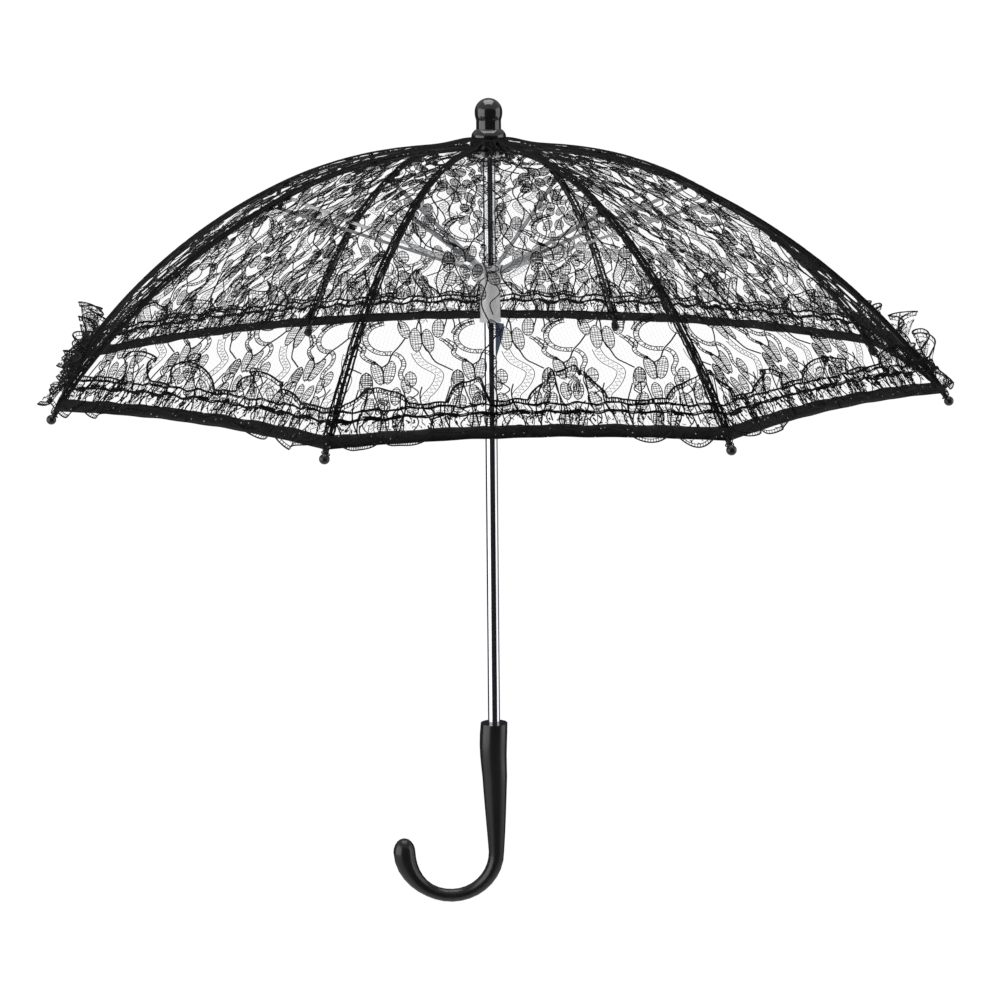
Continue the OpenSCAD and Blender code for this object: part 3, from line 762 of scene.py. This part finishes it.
def apex_gather(k):
    """Threads pulled together under the finial, over the whole of petal k."""
    rng = np.random.default_rng(300 + k)
    t = Threads()
    for share in np.linspace(-0.98, 0.98, 22):
        length = rng.uniform(3, 10) if rng.random() < 0.7 else rng.uniform(10, 22)
        y = np.linspace(LENGTH - 0.3, LENGTH - length, 6)
        t.add(np.stack([share + rng.uniform(-0.03, 0.03, 6), y], 1), rng.uniform(0.5, 1.1), 0.5)
    for drop in (0.4, 1.7, 3.4, 5.6):
        y = LENGTH - drop + rng.uniform(-0.3, 0.3, 24)
        t.add(np.stack([np.linspace(-0.99, 0.99, 24), y], 1), 0.9, 0.5)
    flat, owner, width, height = t.arrays()
    return threads_on(partial(on_petal, k), flat[:, 0], flat[:, 1], segments_of(owner),
                      width, height, 0.1)


def apex_fringe(k):
    """The lace's edge, drawn in tight round the crown on both sides of rib k."""
    rng = np.random.default_rng(500 + k)
    t = Threads()
    for share in np.linspace(0.29, 0.99, 11):
        for side in (-1, 1):
            deep = np.linspace(0, rng.uniform(6.5, 10.5), 7)
            line = np.stack([side * share + rng.uniform(-0.035, 0.035, 7), deep], 1)
            t.add(line, rng.uniform(0.6, 1.0), 0.5)
    flat, owner, width, height = t.arrays()
    top = float(on_curve(TOP_A)[1]) + LIFT + APEX_RISE - 0.4

    def surface(u, deep, out):
        r = FRINGE_R + 0.4 * np.sin(19 * u) + 0.05 * deep + out
        return arm_point(k, r * np.cos(u * HALF), r * np.sin(u * HALF), top - deep)

    return threads_on(surface, flat[:, 0], flat[:, 1], segments_of(owner), width, height, 0.0)


def make_motifs(k):
    """The woven figures on petal k, as threads that stand on the net."""
    parts = [apex_gather(k), apex_fringe(k)]
    for g, sign in ((k - 1 or ARMS, 1), (k, -1)):
        flat, width, height, segments = GORE_LACE[g]
        middle = flat[segments[:, 0], 0] + flat[segments[:, 1], 0]
        chosen = segments[middle * sign >= 0]
        share = flat[:, 0] / half_width(np.clip(flat[:, 1], 0, LENGTH))
        parts.append(threads_on(partial(on_gore, g), share, flat[:, 1], chosen, width, height, 0.05))
    return make_mesh(f"canopy_figures_{k}", *joined(parts), THREAD)


SEAM = 3.2                   # half the width of a seam over a rib, at the hem


def make_seam(k):
    """The two gores' allowances sewn together over the rib."""
    rng = np.random.default_rng(900 + k)
    t = Threads()
    steps = np.linspace(2, LENGTH - 2, int(LENGTH / 2.2))
    for off, width in ((-SEAM, 1.3), (SEAM, 1.3), (-SEAM + 1.5, 0.6), (SEAM - 1.5, 0.6), (0.2, 0.9)):
        wobble = 0.28 * np.sin(steps / (7 + abs(off)) + 3 * off) + rng.normal(0, 0.16, len(steps))
        t.add(np.stack([off + wobble, steps], 1), width, 0.8)
    for start in np.arange(3, LENGTH - 6, 1.5):
        for _ in range(rng.integers(0, 3)):
            a, b = rng.uniform(-SEAM, SEAM, 2)
            t.add([(a, start + rng.uniform(-1, 1)), (b, start + rng.uniform(0.4, 4))],
                  rng.uniform(0.4, 1.0), 0.6)
    flat, owner, width, height = t.arrays()

    def surface(x, y, out):
        share = x * (1 - 0.45 * y / LENGTH) / half_width(y)
        return on_petal(k, share, y, out)

    return make_mesh(f"seam_{k}", *threads_on(surface, flat[:, 0], np.clip(flat[:, 1], 0.5, LENGTH),
                                              segments_of(owner), width, height, 0.25), THREAD)


# ---------------------------------------------------------------- the frill

HUMPS = 12                   # places for a figure in one gore
FULL_HUMP = 30               # how high the frill's edge has to be for one


def draw_frill():
    """The frill's figures along the whole strip, in the strip's own lengths."""
    rng = np.random.default_rng(41)
    t = Threads()
    hump = STRIP_W / HUMPS
    whole = (-0.5 * STRIP_W, 7.5 * STRIP_W)
    fine = np.arange(*whole, 1.2)
    for drop, width in ((0.2, 1.25), (2.7, 0.6)):
        t.add(np.stack([fine, frill_top(fine) - drop], 1), width)
    for s in np.arange(fine[0], fine[-1], 1.9) + uneven(int((fine[-1] - fine[0]) / 1.9) + 1, 0.4):
        t.add([(s, frill_top(s) - 0.2), (s, frill_top(s) - 2.7)], 0.62)
    for drop, width in ((0.1, 0.9), (2.2, 0.5)):
        t.add(np.stack([fine, frill_bottom(fine) + drop], 1), width)
    for s in np.arange(fine[0], fine[-1], 1.7):
        t.add([(s, frill_bottom(s) + 0.1), (s + 0.6, frill_bottom(s) + 2.2)], 0.44)
    for number in range(-6, 90):
        start = number * hump
        middle = start + hump / 2
        peak = float(frill_top(middle))
        row = np.arange(start + 5, start + hump - 5, 0.9)
        teeth = frill_top(row) - 5.6 - 1.5 * (np.arange(len(row)) % 2)
        t.add(np.stack([row, teeth], 1), 0.5)
        if peak >= FULL_HUMP and number % 3 == 1:
            ladder(t, arc(middle, peak - 12, 4.6, -60, 240), 1.9, 1.3)
            leaf(t, middle, peak - 12, 3.5, 6)
        elif peak >= FULL_HUMP:
            leaf(t, middle - 3.4, peak - 10.5, 5.5, 11, 12)
            leaf(t, middle + 3.6, peak - 10.0, 5.5, 11, -14)
        sway = rng.uniform(-2.5, 2.5, 6)
        t.add(curve([(start, float(frill_top(start)) - 1), (start + sway[0], 21), (start + 3 + sway[1], 15),
                     (start + sway[2], 8), (start + 3 + sway[3], 1), (start + sway[4], -2)]), 0.8)
        if number % 2:
            ribbon(t, curve([(middle + sway[1], 20), (middle + 4 + sway[2], 14), (middle - 3 + sway[3], 8),
                             (middle + sway[4], 2)]), 3.4, 1.2)
    for s in np.arange(*whole, 2.1):
        at, step = np.array([s, rng.uniform(6.5, 13.5)]), rng.uniform(-2.4, 2.4, 2)
        t.add([at, at + step, at + step + rng.uniform(-1.6, 1.6, 2)], rng.uniform(0.4, 1.1))
    for s in np.arange(*whole, 1.5):
        low = float(frill_bottom(s)) + 2.8
        if low < 0:
            at, step = np.array([s, rng.uniform(low, 1.5)]), rng.uniform(-1.3, 1.3, 2)
            t.add([at, at + step], rng.uniform(0.35, 0.8))
            t.add([at - [0.6, 0], at - step[::-1]], rng.uniform(0.3, 0.6))
    for s in np.arange(*whole, 7.0):
        low, high = rng.uniform(6, 12), rng.uniform(16, 24)
        t.add(curve([(s + rng.uniform(-1, 1), low), (s + rng.uniform(-2.6, 2.6), (low + high) / 2),
                     (s + rng.uniform(-1, 1), high)], 2.4), rng.uniform(0.3, 0.9))
    for s in np.arange(*whole, 21.0):
        s += rng.uniform(-7, 7)
        long, line = rng.uniform(6, 17), STITCH[0] + rng.uniform(-1, 1.2)
        for _ in range(int(long * 1.1)):
            a, b = np.sort(rng.uniform(0, long, 2))
            t.add([(s + a, line + rng.uniform(-1.6, 1.6)), (s + b, line + rng.uniform(-1.6, 1.6))],
                  rng.uniform(0.5, 1.2), 0.8)
    for line, width in ((STITCH[0], 1.2), (STITCH[0] + 0.9, 0.6), (STITCH[1], 0.9),
                        (STITCH[1] - 0.8, 0.45)):
        pulled = line + 0.35 * np.sin(fine / 4.1 + line) + 0.25 * np.sin(fine / 1.9)
        t.add(np.stack([fine, pulled], 1), width, 0.9)
    return t


def frill_arrays():
    """The frill's threads, and the segments of them that lie on the strip."""
    flat, owner, width, height = draw_frill().arrays()
    s, t = flat.T
    sewn = (t >= frill_bottom(s) - 0.4) & (t <= frill_top(s) + 0.2)
    return s, t, width, height, segments_of(owner, sewn)


FRILL = frill_arrays()


def make_frill_threads(k):
    """The figures of the frill on petal k."""
    s, t, width, height, segments = FRILL
    middle = (s[segments[:, 0]] + s[segments[:, 1]]) / 2 / STRIP_W
    start, end = perimeter(k)
    chosen = segments[(middle >= start) & (middle < end)]
    threads = threads_on(on_frill, s, t, chosen, width, height, 0.05)
    return make_mesh(f"frill_figures_{k}", *threads, THREAD)


def make_frill_net(k):
    """The net of the frill on petal k, as one gathered sheet."""
    start, end = perimeter(k)
    s, v = np.meshgrid(np.linspace(start * STRIP_W, end * STRIP_W, 241), np.linspace(0, 1, 13))
    low = frill_bottom(s)
    t = low + v * (frill_top(s) - low)
    quads = grid_quads(*s.shape)
    return make_mesh(f"frill_net_{k}", on_frill(s, t).reshape(-1, 3), quads, material=NET,
                     uv=flat_uv(quads, s, t), smooth=True)


# ---------------------------------------------------------------- ties and eyes

def tube_along(path, radius, sides, closed=False):
    """A round thread along a path, with closed ends."""
    path = np.asarray(path, float)
    d = np.roll(path, -1, 0) - np.roll(path, 1, 0) if closed else np.gradient(path, axis=0)
    d /= np.linalg.norm(d, axis=1)[:, None]
    up = np.where(np.abs(d[:, 2:]) > 0.9, [[1.0, 0, 0]], [[0, 0, 1.0]])
    a = np.cross(d, up)
    a /= np.linalg.norm(a, axis=1)[:, None]
    b = np.cross(d, a)
    turn = np.arange(sides) * 2 * np.pi / sides
    rings = path[:, None] + radius * (np.cos(turn)[None, :, None] * a[:, None]
                                      + np.sin(turn)[None, :, None] * b[:, None])
    n = len(path)
    i = np.arange(n if closed else n - 1)[:, None] * sides
    j = np.arange(sides)[None]
    following = (j + 1) % sides
    ahead = (i + sides) % (n * sides)
    corners = np.broadcast_arrays(i + j, ahead + j, ahead + following, i + following)
    quads = np.stack(corners, -1).reshape(-1, 4)
    points = rings.reshape(-1, 3)
    if closed:
        return points, quads, np.zeros((0, 3), int)
    end = len(points)
    points = np.concatenate([points, path[:1], path[-1:]])
    ring, onward = j[0], following[0]
    base = (n - 1) * sides
    first = np.stack(np.broadcast_arrays(end, ring, onward), 1)
    last = np.stack(np.broadcast_arrays(end + 1, base + onward, base + ring), 1)
    return points, quads, np.concatenate([first, last])


def rib_frame(a):
    """A point on the ribs' curve in the arm's plane, with the directions along and out of it."""
    c, s = math.cos(a), math.sin(a)
    return np.array(on_curve(a)), np.array([c, -s]), np.array([s, c])


def make_ties(k):
    """Black thread wound round the rib and the seam, on both sides of the joint and near both ends."""
    parts = []
    for a, turns in ((JOINT_A - 6.2 / UPPER[2], 5), (JOINT_A + 6.2 / LOWER[2], 5),
                     (JOINT_A + 0.42 * (HEM_A - JOINT_A), 6), (HEM_A - 9 / LOWER[2], 3),
                     (JOINT_A * 0.45, 3)):
        at, along, out = rib_frame(a)
        w = np.linspace(0, turns * 2 * np.pi, turns * 14)
        run = (w / w[-1] - 0.5) * turns * 0.6 + 0.5 * np.sin(0.7 * w + k)
        wide = 1.6 + 0.3 * np.sin(1.3 * w + a)
        tall = wide + 0.6 * (np.sin(w) > 0) * np.sin(w)
        ring = at + np.outer(run, along) + np.outer(tall * np.sin(w), out)
        parts.append(tube_along(arm_point(k, ring[:, 0], wide * np.cos(w), ring[:, 1]), 0.42, 6))
    points, quads, tris = joined(parts)
    return make_mesh(f"ties_{k}", points, quads, tris, THREAD, smooth=True)


def make_eye(k):
    """The wire eye that holds the hem's corner to the tip's socket."""
    parts = []
    at, along, out = rib_frame(TIP_A - 3.4 / LOWER[2])
    w = np.linspace(0, 2 * np.pi, 25)[:-1]
    ring = at + np.outer(2.3 * np.cos(w), out) + np.outer(0.4 * np.sin(w), along)
    parts.append(tube_along(arm_point(k, ring[:, 0], 2.3 * np.sin(w), ring[:, 1]), 0.38, 7, closed=True))
    for side in (-1, 1):
        t = np.linspace(0, 1, 12)
        line = at + np.outer(-3.6 * t, along) + np.outer(2.3 + 0.3 * np.sin(np.pi * t), out)
        parts.append(tube_along(arm_point(k, line[:, 0], side * (0.5 + 1.6 * t), line[:, 1]), 0.34, 6))
    points, quads, tris = joined(parts)
    return make_mesh(f"tip_eye_{k}", points, quads, tris, BLACKENED, smooth=True)


for k in range(1, ARMS + 1):
    body = f"rib_arm_{k}"
    net, figures, seam, hem = make_sheet(k), make_motifs(k), make_seam(k), make_hem(k)
    frill, frill_figures = make_frill_net(k), make_frill_threads(k)
    ties, eye = make_ties(k), make_eye(k)
    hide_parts(f"lace_panel_{k}")
    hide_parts(f"lace_trim_{k}")
    for piece in (net, figures, seam, hem, frill, frill_figures, ties, eye):
        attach(piece, body)
    for piece in (net, figures, seam, hem, frill, frill_figures):
        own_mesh(piece)

# ---------------------------------------------------------------- floor, light and camera

FLOOR_Z = -1.6


def lit_material(name, color, glow):
    """A plain pale surface that shows white to the camera."""
    mat, tree, shader, add = node_material(name)
    link = tree.links.new
    shader.inputs["Base Color"].default_value = (*color, 1)
    shader.inputs["Roughness"].default_value = 0.9
    path = add("ShaderNodeLightPath")
    light = add("ShaderNodeEmission", Strength=glow)
    mix = add("ShaderNodeMixShader")
    link(path.outputs["Is Camera Ray"], mix.inputs[0])
    link(shader.outputs[0], mix.inputs[1])
    link(light.outputs[0], mix.inputs[2])
    link(mix.outputs[0], tree.nodes["Material Output"].inputs["Surface"])
    return mat


WHITE = 1.02                 # what the camera sees of the floor and the room
ROOM = 0.35                  # and the light that the room gives
FLOOR_R = 90
SIDES = 64                   # of the floor
side = np.arange(SIDES)
w = np.linspace(0, 2 * np.pi, SIDES + 1)[:-1]
ring = np.stack([FLOOR_R * np.cos(w), FLOOR_R * np.sin(w), np.full(SIDES, FLOOR_Z)], 1)
floor = make_mesh("floor", np.concatenate([ring, [[0, 0, FLOOR_Z]]]) / MM, np.zeros((0, 4), int),
                  np.stack([np.full(SIDES, SIDES), side, (side + 1) % SIDES], 1),
                  lit_material("pale_floor", (0.8, 0.8, 0.8), WHITE))


def flag(name, x, y, z, color):
    """A dark cloth beside the set, which only reflections see. x and z are its ranges."""
    corners = [(x[0], y, z[0]), (x[1], y, z[0]), (x[1], y, z[1]), (x[0], y, z[1])]
    mat, _, shader, _ = node_material(name)
    shader.inputs["Base Color"].default_value = (*color, 1)
    shader.inputs["Roughness"].default_value = 1.0
    cloth = make_mesh(name, np.array(corners) / MM, [[0, 1, 2, 3]], material=mat)
    for ray in ("camera", "diffuse", "transmission", "volume_scatter", "shadow"):
        setattr(cloth, "visible_" + ray, False)


flag("front_flag", (-1.4, 4.8), -2.3, (-1.6, 1.7), (0.02, 0.02, 0.022))
flag("back_flag", (-9, 9), 1.8, (-1.6, 1.2), (0.03, 0.035, 0.06))

world = bpy.data.worlds.new("studio")
world.use_nodes = True
bpy.context.scene.world = world
tree = world.node_tree
path = tree.nodes.new("ShaderNodeLightPath")
strength = tree.nodes.new("ShaderNodeMapRange")
strength.inputs["To Min"].default_value, strength.inputs["To Max"].default_value = ROOM, WHITE
tree.links.new(path.outputs["Is Camera Ray"], strength.inputs["Value"])
tree.nodes["Background"].inputs["Color"].default_value = (1, 1, 1, 1)
tree.links.new(strength.outputs["Result"], tree.nodes["Background"].inputs["Strength"])
bpy.context.scene.view_settings.view_transform = "Standard"


def soft_box(name, at, size, watts, toward=(0, 0, 0.2)):
    """A large soft lamp, which the camera doesn't see."""
    light = bpy.data.lights.new(name, "AREA")
    light.shape = "RECTANGLE"
    light.size, light.size_y = size
    light.energy = watts
    lamp = bpy.data.objects.new(name, light)
    bpy.context.scene.collection.objects.link(lamp)
    lamp.location = at
    lamp.rotation_euler = (Vector(toward) - Vector(at)).to_track_quat("-Z", "Y").to_euler()
    lamp.visible_camera = False


soft_box("left_box", (-1.74, -0.77, 0.3), (2.4, 1.8), 20)
soft_box("right_box", (1.9, -0.05, 0.3), (1.7, 1.8), 11)
soft_box("overhead", (0, 0.2, 2.3), (1.8, 1.8), 30)

ELEVATION = math.radians(10.633)
DISTANCE = 1.9471
ROLL = math.radians(-0.4993)
TARGET = Vector((0.00524, 0, 0.18431))
LENS = 106.446
view = bpy.data.cameras.new("view")
view.lens = LENS
camera = bpy.data.objects.new("camera", view)
bpy.context.scene.collection.objects.link(camera)
back = Vector((0, -math.cos(ELEVATION), math.sin(ELEVATION)))
camera.location = TARGET + back * DISTANCE
turn = (-back).to_track_quat("-Z", "Y").to_matrix()
camera.rotation_euler = (turn @ Matrix.Rotation(ROLL, 3, "Z")).to_euler()
bpy.context.scene.camera = camera
